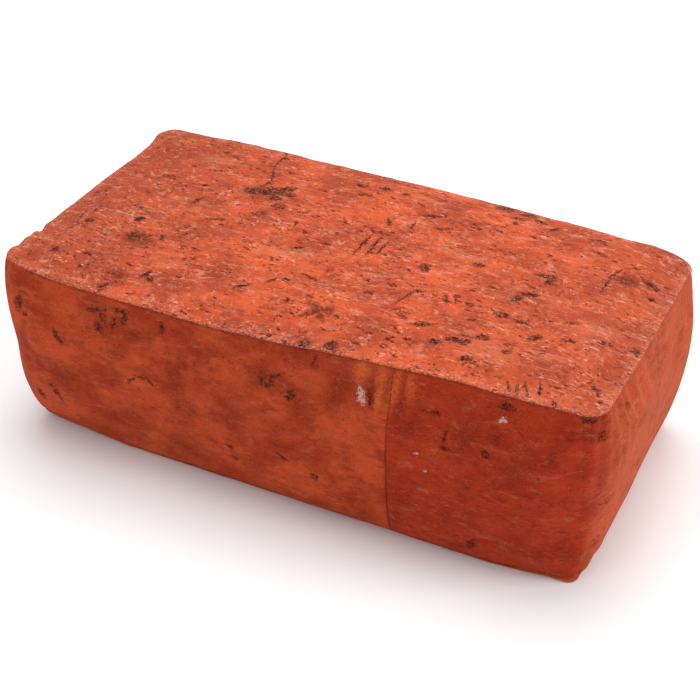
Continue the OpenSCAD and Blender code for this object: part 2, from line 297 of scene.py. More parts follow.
def band_surface(seam_x, seam_y, height, joins=True):
    """Points of the side band, outwards from seam points, at heights above the underside."""
    out_x, out_y, _ = outward(seam_x, seam_y)
    length = seam_length(seam_x, seam_y)
    stand = plain_stand(seam_x, seam_y, height)
    from_top = HEIGHT - height
    groove = 0.9 * MM * (np.exp(-from_top / (1.5 * MM)) + np.exp(-height / (1.5 * MM)))
    pucker = gathers(seam_x, seam_y, HEIGHT) * np.exp(-from_top / (9 * MM))
    pucker = pucker + gathers(seam_x, seam_y, 0.0) * np.exp(-height / (9 * MM))
    stand = stand - groove + pucker * 0.5 * MM - fold_depth(length, height, BAND_FOLDS)
    if joins:
        for join in (JOIN_X, BACK_JOIN, -BACK_JOIN):
            away = np.abs(length - join) / MM
            depth = 1.2 * MM - 0.7 * MM * ramp(height, 0.45 * HEIGHT, 0.65 * HEIGHT)
            stand = stand - depth * (np.exp(-(away / 1.1) ** 2) - 0.3 * np.exp(-((away - 4.5) / 2.5) ** 2))
    level = height - 1.7 * MM * np.exp(-from_top / (3 * MM)) + 1.7 * MM * np.exp(-height / (3 * MM))
    level = level + underside_lift(seam_x, seam_y, height)
    return joined(seam_x + out_x * stand, seam_y + out_y * stand, level)


BACK_JOIN = float(seam_length(np.array([HALF_ZIP]), np.array([HALF_W]))[0])

# ---- cloth simulation of the stuffed cover ----

SIM_STEP = 4.5 * MM
SIM_FRAMES = 20
SIM_CAP = 3.0 * MM
SIM_REACH = 4.0 * MM


def rough_cover():
    """The plain cover as one coarse cloth, closed along its seams."""
    def lines(run):
        corner = run + CORNER_R * np.array([0.35, 0.7, 1.0])
        return np.concatenate([-corner[::-1], np.linspace(-run, run, round(2 * run / SIM_STEP)), corner])

    lines_x, lines_y = lines(RUN_X), lines(RUN_Y)
    x, y = round_corners(*np.meshgrid(lines_x, lines_y, indexing="ij"))
    columns, rows = x.shape
    out_x, out_y, distance = outward(x, y)
    tuck = seam_tuck(x, y) * (1 - ramp(distance, 0, 14 * MM))
    low = joined(x - out_x * tuck, y - out_y * tuck, np.zeros_like(x))
    high = joined(x, y, np.full_like(x, HEIGHT))
    edge = [(i, 0) for i in range(columns - 1)] + [(columns - 1, j) for j in range(rows - 1)]
    edge += [(i, rows - 1) for i in range(columns - 1, 0, -1)] + [(0, j) for j in range(rows - 1, 0, -1)]
    edge_i, edge_j = np.array(edge).T
    heights = np.linspace(0, HEIGHT, round(HEIGHT / SIM_STEP))
    seam_x, seam_y = x[edge_i, edge_j][None, :], y[edge_i, edge_j][None, :]
    stand = plain_stand(seam_x, seam_y, heights[:, None])
    side = joined(seam_x + out_x[edge_i, edge_j] * stand, seam_y + out_y[edge_i, edge_j] * stand,
                  np.repeat(heights[:, None], len(edge), axis=1))
    points = np.concatenate([part.reshape(-1, 3) for part in (low, high, side)])
    size = columns * rows
    faces = [face[::-1] for face in grid_faces(columns, rows)]
    faces += [tuple(size + i for i in face) for face in grid_faces(columns, rows)]
    faces += [tuple(2 * size + i for i in face) for face in ring_faces(len(heights), len(edge))]
    return points, faces


def stuffed_moves():
    """Runs cloth on the rough cover, blown up from inside and drawn in along its top seam. Returns a tree
    of the cover's points and how far each has moved, with none over SIM_CAP."""
    points, faces = rough_cover()
    mesh = bpy.data.meshes.new("rough_cover")
    mesh.from_pydata(points.tolist(), [], faces)
    shape = bmesh.new()
    shape.from_mesh(mesh)
    bmesh.ops.remove_doubles(shape, verts=shape.verts, dist=0.01 * MM)
    shape.to_mesh(mesh)
    shape.free()
    plain = np.array([vertex.co for vertex in mesh.vertices])
    start = slump(plain)
    mesh.vertices.foreach_set("co", start.ravel())
    cover = bpy.data.objects.new("rough_cover", mesh)
    bpy.context.collection.objects.link(cover)
    held = cover.vertex_groups.new(name="held")
    drawn = cover.vertex_groups.new(name="drawn")
    on_zip = near_zip(plain)
    seam_away = np.abs(outward(plain[:, 0], plain[:, 1])[2])
    for i, (x, y, z) in enumerate(plain):
        held.add([i], 1.0 if z < 1 * MM else float(on_zip[i]), "REPLACE")
        if seam_away[i] < 0.5 * MM and HEIGHT - z < 0.5 * MM:
            drawn.add([i], 1.0, "REPLACE")
    cloth = cover.modifiers.new("Cloth", "CLOTH")
    settings = cloth.settings
    settings.quality = 6
    settings.mass = 0.3
    settings.tension_stiffness = settings.compression_stiffness = 12
    settings.shear_stiffness = 4
    settings.bending_stiffness = 0.4
    settings.air_damping = 2
    settings.use_pressure = True
    settings.uniform_pressure_force = 4
    settings.vertex_group_mass = "held"
    settings.pin_stiffness = 1.0
    settings.vertex_group_shrink = "drawn"
    settings.shrink_min = 0.0
    settings.shrink_max = 0.012
    settings.effector_weights.gravity = 0
    cloth.collision_settings.use_collision = False
    scene = bpy.context.scene
    for number in range(1, SIM_FRAMES + 1):
        scene.frame_set(number)
    done = cover.evaluated_get(bpy.context.evaluated_depsgraph_get())
    moves = np.array([vertex.co for vertex in done.data.vertices]) - start
    scene.frame_set(1)
    bpy.data.objects.remove(cover)
    size = np.linalg.norm(moves, axis=1)[:, None]
    moves = moves * np.minimum(1, SIM_CAP / np.maximum(size, 1e-9))
    tree = KDTree(len(plain))
    for i, place in enumerate(plain):
        tree.insert(place, i)
    tree.balance()
    return tree, moves


def settle(points):
    """The slumped place of points, moved with the simulated cloth near them."""
    if SIMULATED is None:
        return slump(points)
    tree, moves = SIMULATED
    flat = points.reshape(-1, 3)
    total = np.zeros_like(flat)
    for i, place in enumerate(flat):
        found = tree.find_n(place, 8)
        away = np.array([entry[2] for entry in found])
        weight = np.exp(-(away / SIM_REACH) ** 2) + 1e-9
        near = math.exp(-(away[0] / (18 * MM)) ** 2)
        total[i] = weight @ moves[[entry[1] for entry in found]] / weight.sum() * near
    return slump(points) + total.reshape(points.shape)


# ---- making meshes ----


def grid_faces(columns, rows):
    """Faces of a grid whose points are ordered by column, then by row."""
    return [
        (c * rows + r, (c + 1) * rows + r, (c + 1) * rows + r + 1, c * rows + r + 1)
        for c in range(columns - 1) for r in range(rows - 1)]


def ring_faces(rings, size):
    """Faces between closed rings of points."""
    return [
        (r * size + i, r * size + (i + 1) % size, (r + 1) * size + (i + 1) % size, (r + 1) * size + i)
        for r in range(rings - 1) for i in range(size)]


def mesh_piece(node, points, faces, material):
    """The piece that stands for a CAD node, made from points and faces. It rides with the cover."""
    mesh = bpy.data.meshes.new(f"{node}_made")
    mesh.from_pydata(points.reshape(-1, 3).tolist(), [], faces)
    mesh.shade_smooth()
    piece = bpy.data.objects.new(f"{node}_made", mesh)
    bpy.context.collection.objects.link(piece)
    piece.data.materials.append(material)
    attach(piece, "cushion_cover")
    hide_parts(node)
    return piece


def cloth_piece(name, points, flat_u, flat_v, seam_distance, material):
    """A length of cover cloth that remembers its flat place in mm and how far each point is from a seam."""
    columns, rows = points.shape[:2]
    piece = mesh_piece(name, points, grid_faces(columns, rows), material)
    flat = joined(flat_u, flat_v, np.zeros_like(flat_u)) / MM
    place = piece.data.attributes.new("cloth_mm", "FLOAT_VECTOR", "POINT")
    place.data.foreach_set("vector", flat.astype(np.float32).ravel())
    edge = piece.data.attributes.new("seam_mm", "FLOAT", "POINT")
    edge.data.foreach_set("value", (seam_distance / MM).astype(np.float32).ravel())
    solid = piece.modifiers.new("Cloth thickness", "SOLIDIFY")
    solid.thickness = FABRIC / 2
    solid.offset = -1
    return piece


# ---- materials ----


def colour(red, green, blue):
    """A colour given in screen values from 0 to 255, as the linear one that shaders use."""
    shares = (value / 255 for value in (red, green, blue))
    return (*(s / 12.92 if s <= 0.04045 else ((s + 0.055) / 1.055) ** 2.4 for s in shares), 1)


class Nodes:
    """Short names for building a material's nodes."""

    def __init__(self, name):
        self.material = bpy.data.materials.new(name)
        self.material.use_nodes = True
        self.tree = self.material.node_tree
        self.tree.nodes.clear()
        self.output = self.add("ShaderNodeOutputMaterial", {})

    def add(self, kind, inputs, **settings):
        node = self.tree.nodes.new(kind)
        for key, value in settings.items():
            setattr(node, key, value)
        for key, value in inputs.items():
            if isinstance(value, bpy.types.NodeSocket):
                self.tree.links.new(value, node.inputs[key])
            else:
                node.inputs[key].default_value = value
        return node

    def attribute(self, name, output):
        return self.add("ShaderNodeAttribute", {}, attribute_name=name).outputs[output]

    def moved(self, where, move=(0, 0, 0), turn=0.0, stretch=(1, 1, 1)):
        """Coordinates in which a pattern is stretched, turned and moved."""
        rotation = (0, 0, math.radians(turn))
        inputs = {"Vector": where, "Location": move, "Rotation": rotation, "Scale": stretch}
        return self.add("ShaderNodeMapping", inputs, vector_type="TEXTURE").outputs[0]

    def noise(self, where, size, detail=3.0, roughness=0.55, distortion=0.0, output="Fac"):
        inputs = {"Vector": where, "Scale": 1 / size, "Detail": detail, "Roughness": roughness,
                  "Distortion": distortion}
        return self.add("ShaderNodeTexNoise", inputs).outputs[output]

    def math(self, operation, a, b=0.0):
        return self.add("ShaderNodeMath", {0: a, 1: b}, operation=operation).outputs[0]

    def vector(self, operation, inputs):
        return self.add("ShaderNodeVectorMath", inputs, operation=operation).outputs[0]

    def step(self, value, start, end):
        """0 where value is at start and 1 where it is at end, with a smooth change between."""
        inputs = {"Value": value, "From Min": start, "From Max": end}
        node = self.add("ShaderNodeMapRange", inputs, interpolation_type="SMOOTHSTEP")
        return node.outputs["Result"]

    def mix(self, share, under, over, blend="MIX"):
        inputs = {0: share, 6: under, 7: over}
        node = self.add("ShaderNodeMix", inputs, data_type="RGBA", blend_type=blend)
        return node.outputs[2]

    def marks(self, where, marks, softness=0.35):
        """1 inside any of the oval marks, each given as place, length, width and turn."""
        nearest = None
        for x, y, length, width, turn in marks:
            local = self.moved(where, (x, y, 0), turn, (length / 2, width / 2, 1))
            away = self.add("ShaderNodeVectorMath", {0: local}, operation="LENGTH").outputs["Value"]
            nearest = away if nearest is None else self.math("MINIMUM", nearest, away)
        return self.step(nearest, 1.15 + softness, 1.15 - softness)

    def surface(self, inputs):
        shader = self.add("ShaderNodeBsdfPrincipled", inputs)
        self.tree.links.new(shader.outputs[0], self.output.inputs["Surface"])
        return self.material


# Marks of the print, in mm on the flat cloth: place, length, width and turn in degrees
TOP_BLACK_LEFT = [
    (-80, 37, 22, 10, 8), (-70, 43, 13, 8, 35), (-91, 33, 12, 6, -25), (-72, 31, 10, 5, 0),
    (-64, 38, 7, 5, 20), (-86, 45, 8, 3, 60), (-86.5, 56, 24, 1.5, 111), (-91.5, 77, 19, 1.3, 92),
    (-95, 93, 13, 1.2, 118), (-90, 82, 6, 4.5, 0), (-118, 11, 8, 3, 70), (-123, 29, 6, 2, 20),
    (-131, -40, 10, 6, 20), (-139, -24, 7, 5, 20), (-146, -12, 4, 3, 0), (-114, -35, 6, 3.4, 110),
    (-167, -39, 7, 5, 30), (-178, -33, 9, 1.6, 100), (-172, -28, 8, 1.6, 100), (-166, -75, 7, 4, 100),
    (-103, -73, 8, 3, 60), (-99, -76, 8, 3, -30), (-122, -90, 6, 4, 0), (-146, -69, 6, 2, 0),
    (-94, -5, 12, 2.4, 15), (-62, 23, 5, 3, 0), (-45, 10, 6, 2, 90), (-30, -13, 7, 2, 20),
    (-43, -62, 11, 2.6, 40), (-29, -51, 7, 2.4, 60), (-21, -47, 7, 2, 10), (-8, -39, 12, 2.2, -10),
    (-11, -66, 4, 3, 0), (-33, -103, 8, 2, 20), (-27, 70, 8, 4.6, 10), (-10, 72, 8, 5, 0),
    (-22, 59, 6, 2.4, 10),
]
TOP_BLACK_RIGHT = [
    (16, -92, 8, 5, 10), (32, -90, 8, 5, 0), (5, 71, 6, 3, 30), (8, 36, 9, 2, 125), (24, 38, 7, 2.4, 100),
    (30, 53, 14, 2.4, 12), (37, 55, 6, 2, 60), (4, 7, 24, 2.2, 91), (11, 8, 20, 2, 91),
    (17, 9, 15, 1.8, 91), (51, -3, 9, 6.4, 100), (79, 14, 7, 5, 20), (42, -27, 6, 3.4, 0),
    (59, -27, 5, 4, 0), (53, -37, 16, 1.6, 72), (76, -29, 9, 1.8, 114), (81, -27, 9, 1.8, 114),
    (73, -58, 11, 5, 20), (91, -29, 5, 3.4, 0), (87, -72, 8, 4, 0), (95, -66, 8, 5, 20),
    (102, -65, 8, 5, 10), (110, -57, 9, 5, 0), (109, -80, 9, 3.4, 20), (111, -31, 9, 6, 10),
    (112, -11, 9, 6, 60), (117, -3, 13, 4, 20), (119, 21, 12, 4, 10), (122, 16, 6, 5, 90),
    (124, -33, 7, 3.4, 0), (136, -44, 9, 5, 60), (127, -65, 5, 4, 0), (156, -37, 6, 3.4, 0),
    (174, -29, 9, 3, 20), (179, 47, 9, 6, 10), (183, 34, 5, 3.4, 0), (154, 28, 15, 1.8, 93),
    (155, 44, 14, 1.8, 70), (189, -22, 6, 3, 100), (68, 90, 12, 5.6, 10), (84, 89, 9, 4.6, 20),
    (81, 78, 10, 4.6, 0), (94, 84, 8, 4, -20), (106, 76, 9, 3.6, 60), (133, 75, 11, 2.6, 10),
    (152, -38, 5, 3, 0), (140, -90, 8, 1.6, 120), (145, -90, 8, 1.6, 105), (150, -89, 9, 1.6, 118),
    (157, -86, 8, 1.6, 110), (179, -64, 4.6, 1.8, 100), (182, -70, 4.6, 1.8, 106),
    (185, -76, 4.6, 1.8, 112), (187, -81, 4, 1.8, 118),
]
TOP_MAROON = [
    (10, -69, 18, 5, 40), (11, -69, 17, 5, -40), (16, -66, 7, 6, 0), (164, 40, 15, 9, 0),
    (171, 49, 20, 1.3, -42), (-71, 11, 9, 7, 0), (-20, 60, 14, 4, -12), (42, 42, 12, 3, 20),
    (140, 60, 10, 3, -20), (-150, 30, 12, 4, 15), (60, -55, 9, 3, -30), (-120, -80, 12, 4, 8),
    (150, -20, 9, 3, 24), (-128, -42, 18, 12, 0),
]
TOP_PALE = [
    (-112, 1, 7, 5, 10), (119, -70, 24, 16, -30), (166, -20, 24, 10, 20), (158, -43, 4.6, 3.4, 0),
    (-30, -20, 30, 9, 12), (66, 20, 34, 8, -8), (-130, 60, 26, 9, 10), (20, 70, 24, 7, -14),
    (6, -42, 40, 1.0, 13), (44, -29, 44, 1.0, 17), (108, -6, 50, 1.0, 12), (145, -1, 24, 1.0, 0),
    (-69, -67, 40, 1.2, 14), (-97, -61, 14, 5, 30),
]
FRONT_BLACK = [
    (-120, 105, 9, 6, 80), (-117, 111, 12, 5, 80), (-122, 115, 12, 4, 10), (-109, 109, 11, 3.6, 72),
    (-102, 115, 10, 5, 75), (-106, 118, 10, 3, 0), (-180, 99, 12, 4.6, 75), (-176, 93, 6, 3, 10),
    (-150, 88, 10, 4.4, -55), (-174, 30, 9, 6, -70), (-159, 39, 14, 4, -62), (-98, 71, 9, 2, 45),
    (-91, 76, 9, 1.8, 0), (-84, 74, 8, 2.4, -45), (-76, 114, 8, 3, 90), (-8, 101, 7, 4.4, 70),
    (-2, 101, 8, 4, 60), (-5, 97, 10, 3, 10), (10, 93, 7, 5, 40), (2, 104, 8, 2.4, 30),
    (6, 45, 10, 2, -30), (-33, 40, 4.6, 3.2, 0), (-30, 31, 5, 3, 0), (27, 37, 5, 5, 0),
    (25, 119, 7, 1.6, 75), (62, 104, 11, 4.4, 105), (101, 105, 5, 2.6, 0), (109, 85, 6, 4, 0),
    (108, 92, 9, 2, 80), (133, 89, 5, 4, 0), (142, 119, 8, 4, 0), (188, 122, 9, 3.6, 0),
    (194, 110, 7, 6, 0), (126, 18, 10, 5, 60),
]
FRONT_MAROON = [
    (-64, 73, 40, 10, 88), (-69, 84, 24, 7, 98), (-58, 60, 26, 9, 80), (-96, 104, 14, 10, 0),
    (-106, 88, 13, 6, -10), (-84, 106, 14, 6, 70), (-114, 110, 26, 14, 0), (-5, 100, 20, 12, 0),
    (16, 88, 16, 9, 60), (24, 78, 12, 7, 80), (-65, 25, 22, 11, -30), (62, 112, 18, 3, 86),
    (71, 108, 15, 3, 95), (80, 104, 22, 6, 80), (86, 92, 12, 7, 60), (100, 40, 6, 4, 0),
    (150, 84, 26, 14, 80), (170, 96, 10, 4, 60), (120, 92, 24, 12, 70), (-30, 70, 30, 12, 85),
    (-180, 75, 18, 6, 80), (-150, 55, 26, 12, 40), (40, 104, 24, 12, 60),
]
BACK_MAROON = [(-100, 92, 18, 6, 10), (30, 20, 12, 7, -20), (96, 98, 15, 5, 70), (-40, 104, 9, 5, 0)]
FRONT_ORANGE = [
    (54, 117, 14, 7, 85), (67, 116, 18, 6, 94), (75, 113, 22, 5, 84), (84, 116, 14, 5, 92),
    (66, 104, 12, 4, 80),
]
FRONT_PALE = [(56, 104, 10, 4.6, 105), (142, 112, 4, 3, 0), (92, 76, 2.6, 1.6, 0), (98, 66, 2.8, 1.8, 40)]


# Layers of the print, from coarse to fine, with faint bands of dust along the cloth last: shade, strength,
# where it starts and ends, move, turn, stretch, and size, detail, roughness and distortion of the noise
PRINT_LAYERS = [
    ("dark", "mottle", 0.5, 0.68, (90, 40, 5), 0, (1, 1, 1), (11, 6.0, 0.75, 0.0)),
    ("pale", "dusty", 0.52, 0.7, (15, 240, 9), 0, (1, 1, 1), (7, 6.0, 0.8, 0.4)),
    ("dark", "speckle", 0.56, 0.7, (52, 18, 4), -15, (1.6, 1, 1), (2.6, 4.0, 0.75, 0.0)),
    ("pale", "speckle", 0.58, 0.72, (18, 152, 6), 20, (1.8, 1, 1), (2.2, 4.0, 0.75, 0.0)),
    ("pale", "dusty", 0.55, 0.78, (33, 71, 2), 6, (5, 1, 1), (5, 4.0, 0.7, 0.0)),
]


def plush(name, palette, marks, seed):
    """Short plush printed like fired clay: clouds, dust, clusters of dark flecks, cracks, pits and marks."""
    nodes = Nodes(name)
    where = nodes.attribute("cloth_mm", "Vector")
    print_place = nodes.moved(where, (seed * 731.0, seed * 517.0, seed * 93.0), 0, (1.5, 1, 1))

    def layer(tone, shade, share, strength):
        return nodes.mix(nodes.math("MULTIPLY", share, palette[strength]), tone, palette[shade])

    # clouds of colour; then a shift in colour with distance from a middle line: on the top this is painted
    # shade, darker towards both ends where the light falls off from the lit middle; on the side bands it
    # makes the end faces paler
    cloud = nodes.noise(print_place, 30, 6.0, 0.66)
    tone = nodes.mix(nodes.step(cloud, 0.36, 0.62), palette["dull"], palette["bright"])
    along = nodes.add("ShaderNodeSeparateXYZ", {0: where}).outputs[0]
    along = nodes.math("ABSOLUTE", nodes.math("SUBTRACT", along, palette["middle"]))
    tone = layer(tone, "far", nodes.step(along, palette["far_start"], palette["far_end"]), "far_share")
    for shade, strength, start, end, move, turn, stretch, grain in PRINT_LAYERS:
        field = nodes.noise(nodes.moved(print_place, move, turn, stretch), *grain)
        tone = layer(tone, shade, nodes.step(field, start, end), strength)
    # flecks: ragged dark dots with pale dots between, each size in clusters of its own
    for size, move, start in ((2.1, 31, 0.59), (3.4, 77, 0.61), (1.3, 145, 0.6)):
        cluster = nodes.step(nodes.noise(nodes.moved(print_place, (move, 9, 3)), 13, 3.0, 0.6), 0.47, 0.6)
        fleck = nodes.noise(nodes.moved(print_place, (9, move, 1), -18, (1.5, 1, 1)), size, 3.0, 0.6)
        share = nodes.math("MULTIPLY", nodes.step(fleck, start, start + 0.04), cluster)
        tone = layer(tone, "fleck", share, "flecks")
        lip = nodes.math("MULTIPLY", nodes.step(fleck, 0.38, 0.32), cluster)
        tone = layer(tone, "pale", lip, "lips")
    # cracks and pale worn squiggles follow the contour lines of two noises
    lines = (("fleck", "cracks", 9.0, 210, 0.008), ("pale", "squiggles", 6.5, 330, 0.016))
    for shade, strength, size, move, half in lines:
        field = nodes.noise(nodes.moved(print_place, (move, 5, 8), 12, (1.6, 1, 1)), size, 2.0, 0.5)
        line = nodes.math("ABSOLUTE", nodes.math("SUBTRACT", field, 0.5))
        part = nodes.noise(nodes.moved(print_place, (5, move, 2)), 7, 3.0, 0.6)
        share = nodes.math("MULTIPLY", nodes.step(line, half, half * 0.4), nodes.step(part, 0.54, 0.62))
        tone = layer(tone, shade, share, strength)
    # faint pits with a pale edge
    ragged = nodes.math("MULTIPLY", nodes.noise(where, 1.7, 3.0, 0.7), 0.34)
    for size, keep in ((8.0, 0.72), (15.0, 0.6)):
        for drop, shade in ((-0.8, "pale"), (0.0, "pit")):
            place = nodes.moved(print_place, (size, drop, 0))
            spot = nodes.add("ShaderNodeTexVoronoi", {"Vector": place, "Scale": 1 / size})
            chance = nodes.add("ShaderNodeSeparateColor", {0: spot.outputs["Color"]}).outputs[0]
            away = nodes.math("ADD", spot.outputs["Distance"], ragged)
            kept = nodes.step(chance, keep, keep + 0.02)
            share = nodes.math("MULTIPLY", nodes.step(away, 0.33, 0.25), kept)
            tone = layer(tone, shade, share, "pits")
    # the larger marks, each in its place, with torn edges and worn to crumbs
    wobble = nodes.noise(where, 2.6, 4.0, 0.75, output="Color")
    wobble = nodes.vector("SUBTRACT", {0: wobble, 1: (0.5, 0.5, 0.5)})
    wobble = nodes.vector("SCALE", {0: wobble, "Scale": 7.5})
    torn = nodes.vector("ADD", {0: where, 1: wobble})
    crumbs = nodes.step(nodes.noise(where, 2.0, 3.0, 0.7), 0.40, 0.50)
    crumbs = nodes.math("MAXIMUM", crumbs, 0.35)
    for group, shade, strength, softness in marks:
        share = nodes.math("MULTIPLY", nodes.marks(torn, group, softness), crumbs)
        tone = nodes.mix(nodes.math("MULTIPLY", share, strength), tone, shade)
        # each group is nudged by the one before it, so the renderer works them out one after another
        torn = nodes.vector("ADD", {0: torn, 1: share})
    # pile, and the pale worn rim beside the seams
    grain = nodes.noise(where, 0.85, 3.0, 0.75)
    pile = nodes.mix(nodes.step(grain, 0.3, 0.7), colour(88, 88, 88), colour(168, 168, 168))
    tone = nodes.mix(0.5, tone, pile, "OVERLAY")
    seam = nodes.attribute("seam_mm", "Fac")
    specks = nodes.step(nodes.noise(where, 1.4, 3.0, 0.7), 0.48, 0.64)
    rim = nodes.math("MULTIPLY", nodes.step(seam, palette["rim_width"], 0.6), specks)
    tone = layer(tone, "rim", rim, "rim_dust")
    nap = nodes.noise(where, 0.55, 2.0, 0.6)
    soft = nodes.noise(where, 5.0, 3.0, 0.6)
    height = nodes.math("ADD", nodes.math("MULTIPLY", nap, 0.25), nodes.math("MULTIPLY", soft, 0.9))
    bump = nodes.add("ShaderNodeBump", {"Height": height, "Strength": 0.55, "Distance": 0.0012})
    return nodes.surface({
        "Base Color": tone, "Roughness": 0.92, "Normal": bump.outputs[0], "Specular IOR Level": 0.12,
        "Sheen Weight": 0.08, "Sheen Roughness": 0.45, "Sheen Tint": colour(255, 168, 128)})


TOP_PALETTE = {
    "dull": colour(188, 78, 50), "bright": colour(218, 102, 60), "dark": colour(156, 58, 40),
    # far is painted shade: with middle, far_start, far_end and far_share it darkens the top towards both
    # ends, away from the lit middle
    "far": colour(178, 78, 54), "pale": colour(240, 178, 148), "fleck": colour(100, 34, 25),
    "pit": colour(82, 28, 20), "rim": colour(236, 172, 144),
    "middle": 20.0, "far_start": 50.0, "far_end": 230.0, "far_share": 0.6, "mottle": 0.5, "dusty": 0.5,
    "speckle": 0.7, "flecks": 0.9, "lips": 0.5, "cracks": 0.8, "squiggles": 0.55, "pits": 0.3,
    "rim_width": 9.0, "rim_dust": 0.45,
}
SIDE_PALETTE = {
    "dull": colour(174, 55, 26), "bright": colour(202, 81, 42), "dark": colour(140, 40, 22),
    "far": colour(196, 84, 50), "pale": colour(216, 126, 84), "fleck": colour(92, 26, 16),
    "pit": colour(66, 20, 14), "rim": colour(204, 108, 78),
    "middle": 0.0, "far_start": 190.0, "far_end": 210.0, "far_share": 0.3, "mottle": 0.55, "dusty": 0.3,
    "speckle": 0.36, "flecks": 0.4, "lips": 0.1, "cracks": 0.3, "squiggles": 0.12, "pits": 0.35,
    "rim_width": 4.0, "rim_dust": 0.2,
}
# the right band's base colours are darker than the left's: partly its print, partly painted shade where the
# front falls darker towards the right; far makes its end face paler
RIGHT_PALETTE = {
    **SIDE_PALETTE, "dull": colour(161, 43, 19), "bright": colour(187, 58, 27), "dark": colour(136, 36, 20),
    "far": colour(200, 94, 58), "far_share": 0.7,
}
BLACK = colour(50, 20, 16)
MAROON = colour(98, 28, 20)
top_plush = plush("Top plush", TOP_PALETTE, [
    (TOP_PALE, colour(228, 146, 108), 0.4, 0.8), (TOP_MAROON, MAROON, 0.75, 0.5),
    (TOP_BLACK_LEFT, BLACK, 0.92, 0.4), (TOP_BLACK_RIGHT, BLACK, 0.92, 0.4)], 1)
front_marks = [
    (FRONT_ORANGE, colour(226, 116, 58), 0.55, 0.8), (FRONT_MAROON, MAROON, 0.38, 0.8),
    (FRONT_BLACK, BLACK, 0.88, 0.45), (FRONT_PALE, colour(206, 184, 176), 0.9, 0.25)]
left_plush = plush("Left band plush", SIDE_PALETTE, front_marks, 2)
right_plush = plush("Right band plush", RIGHT_PALETTE, front_marks, 3)
back_plush = plush("Back and underside plush", SIDE_PALETTE, [(BACK_MAROON, MAROON, 0.5, 0.7)], 4)


def plain_material(name, base, other, size, roughness, metallic=0.0, bump_height=0.0002):
    """Thread, tape, foam, wadding or enamel: two shades in a fine pattern over a rough surface."""
    nodes = Nodes(name)
    where = nodes.add("ShaderNodeTexCoord", {}).outputs["Object"]
    grain = nodes.noise(where, size, 3.0, 0.6)
    tone = nodes.mix(nodes.step(grain, 0.35, 0.65), base, other)
    bump = nodes.add("ShaderNodeBump", {"Height": grain, "Strength": 0.5, "Distance": bump_height})
    return nodes.surface({
        "Base Color": tone, "Roughness": roughness, "Metallic": metallic, "Normal": bump.outputs[0]})


rust_thread = plain_material("Rust thread", colour(150, 62, 40), colour(176, 84, 56), 0.0008, 0.8)
dark_thread = plain_material("Dark join thread", colour(84, 26, 16), colour(110, 38, 24), 0.0008, 0.85)
foam_stuff = plain_material("Upholstery foam", colour(226, 208, 150), colour(206, 184, 122), 0.0016, 0.95)
wadding_stuff = plain_material("Polyester wadding", colour(238, 236, 230), colour(222, 219, 211), 0.004, 0.95)
tape_stuff = plain_material("Zip tape", colour(112, 38, 26), colour(92, 30, 21), 0.0012, 0.85)
coil_stuff = plain_material("Zip coil", colour(104, 34, 24), colour(90, 28, 20), 0.003, 0.4)
enamel = plain_material("Enamelled zinc", colour(112, 36, 25), colour(128, 48, 34), 0.002, 0.35, 0.6, 0.00005)

# ---- the cover ----

SIMULATED = stuffed_moves()

GRID_X, GRID_Y = np.meshgrid(LINES_X, LINES_Y, indexing="ij")
plan_x, plan_y = round_corners(GRID_X, GRID_Y)
top_points, top_distance = panel_surface(GRID_X, GRID_Y, top=True)
top = cloth_piece("top_panel", settle(top_points), plan_x, plan_y, top_distance, top_plush)
low_points, low_distance = panel_surface(GRID_X, GRID_Y, top=False)
bottom = cloth_piece("bottom_panel", settle(low_points)[::-1], plan_x[::-1], plan_y[::-1], low_distance[::-1],
                     back_plush)

# The seam as one closed loop of grid points, from the front join round by the right end
loop_x = np.concatenate([LINES_X[:-1], np.full(len(LINES_Y) - 1, LINES_X[-1]),
                         LINES_X[:0:-1], np.full(len(LINES_Y) - 1, LINES_X[0])])
loop_y = np.concatenate([np.full(len(LINES_X) - 1, LINES_Y[0]), LINES_Y[:-1],
                         np.full(len(LINES_X) - 1, LINES_Y[-1]), LINES_Y[:0:-1]])
first = int(np.argmin(np.hypot(loop_x - JOIN_X, loop_y - LINES_Y[0])))
loop_x, loop_y = round_corners(np.roll(loop_x, -first), np.roll(loop_y, -first))
loop_x = np.append(loop_x, loop_x[0])
loop_y = np.append(loop_y, loop_y[0])


def on_loop(x, y):
    """Index of the loop's point nearest to a place on the seam, past the start."""
    return 1 + int(np.argmin(np.hypot(loop_x[1:] - x, loop_y[1:] - y)))


right_end = on_loop(HALF_ZIP, HALF_W)
left_end = on_loop(-HALF_ZIP, HALF_W)
whole = len(loop_x) - 1
inner_rows = np.linspace(RIM_STEPS[-1], HEIGHT - RIM_STEPS[-1], 52)[1:-1]
band_rows = np.concatenate([RIM_STEPS, inner_rows, HEIGHT - RIM_STEPS[::-1]])
HEM = np.array([0.0, 0.5, 1.0, 2.0, 4.0]) * MM
strip_rows = np.linspace(SLOT_HI + 6 * MM, HEIGHT - RIM_STEPS[-1], 20)
upper_rows = np.concatenate([SLOT_HI + HEM, strip_rows, HEIGHT - RIM_STEPS[:-1][::-1]])
lower_rows = HEIGHT - upper_rows[::-1]


def band_length(name, start, end, rows, material):
    """A length of the side band between two points of the seam loop."""
    columns = slice(start, end + 1)
    seam_x = np.repeat(loop_x[columns, None], len(rows), axis=1)
    seam_y = np.repeat(loop_y[columns, None], len(rows), axis=1)
    heights = np.repeat(rows[None, :], end + 1 - start, axis=0)
    points = settle(band_surface(seam_x, seam_y, heights))
    distance = np.minimum(heights, HEIGHT - heights)
    along = -seam_x if name.startswith("zip") else seam_length(seam_x, seam_y)
    return cloth_piece(name, points, along, heights, distance, material)


band_right = band_length("band_right", 0, right_end, band_rows, right_plush)
band_left = band_length("band_left", left_end, whole, band_rows, left_plush)
strip_upper = band_length("zip_strip_upper", right_end, left_end, upper_rows, back_plush)
strip_lower = band_length("zip_strip_lower", right_end, left_end, lower_rows, back_plush)

# ---- filling ----

